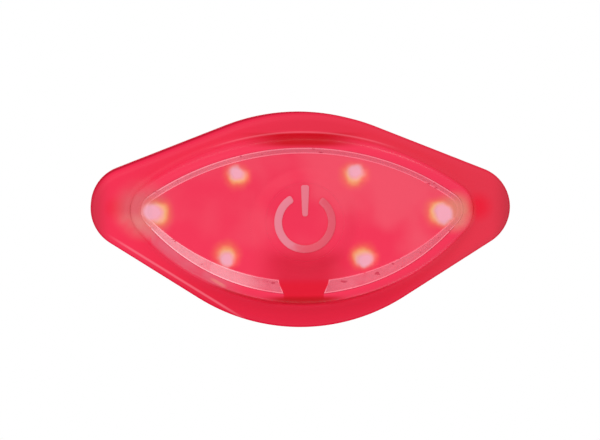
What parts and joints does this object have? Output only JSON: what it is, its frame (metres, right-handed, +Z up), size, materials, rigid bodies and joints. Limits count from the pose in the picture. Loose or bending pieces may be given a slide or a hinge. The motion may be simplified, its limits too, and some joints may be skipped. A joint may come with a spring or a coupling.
{
  "type": "helmet light",
  "caption": "Small almond-shaped clip-in light with a soft translucent red dome, clear light guide ring, push button centre and twist-off battery door.",
  "frame": {"origin": "midway between the two plug pegs, on the flat rear face that rests on the helmet", "axes": "+X to the right seen from the front, the lit front looks along -Y, the pegs point along +Y, +Z up"},
  "size_m": [0.07, 0.0196, 0.0358],
  "materials": {
    "cover_red": "soft translucent red moulding with a fine satin face",
    "shell_red": "moulded translucent red plastic, satin",
    "door_red": "moulded red plastic, satin",
    "guide_clear": "clear polished acrylic",
    "board_white": "white solder mask",
    "lamp_white": "white moulded lamp package",
    "lamp_window": "clear resin, lit",
    "switch_black": "moulded black",
    "switch_steel": "stamped bright sheet",
    "chip_black": "moulded black",
    "resistor_black": "glazed black",
    "capacitor_tan": "ceramic tan",
    "cell_steel": "bright nickel-plated",
    "contact_metal": "plated spring sheet",
    "seal_black": "soft black"
  },
  "bodies": {
    "housing": {"back_shell": "shell_red", "front_cover": "cover_red", "button_web": "cover_red", "switch_body": "switch_black", "switch_plate": "switch_steel", "snap_spring": "switch_steel", "led_left_tip": "lamp_white", "led_left_top": "lamp_white", "led_left_low": "lamp_white", "led_right_tip": "lamp_white", "led_right_top": "lamp_white", "led_right_low": "lamp_white", "led_windows": "lamp_window", "circuit_board": "board_white", "controller_chip": "chip_black", "resistors": "resistor_black", "capacitor": "capacitor_tan", "light_guide": "guide_clear", "coin_cell": "cell_steel", "negative_contact": "contact_metal", "positive_contact": "contact_metal"},
    "button": {"button_pad": "cover_red"},
    "stem": {"switch_stem": "switch_black"},
    "door": {"battery_door": "door_red", "door_seal": "seal_black"}
  },
  "joints": [
    {"name": "button_press", "type": "slide", "parent": "housing", "child": "button", "axis": [0, 1, 0], "range_m": [0, 0.0006], "stiffness_N_per_m": 2500, "deforming": ["button_web"]},
    {"name": "stem_press", "type": "slide", "parent": "housing", "child": "stem", "axis": [0, 1, 0], "range_m": [0, 0.00024], "deforming": ["snap_spring"]},
    {"name": "door_twist", "type": "hinge", "parent": "housing", "child": "door", "pos_m": [0, 0, -0.002], "axis": [0, 1, 0], "range_deg": [0, 38]}
  ],
  "couplings": [
    {"joint": "stem_press", "follows": "button_press", "ratio": 0.4}
  ]
}
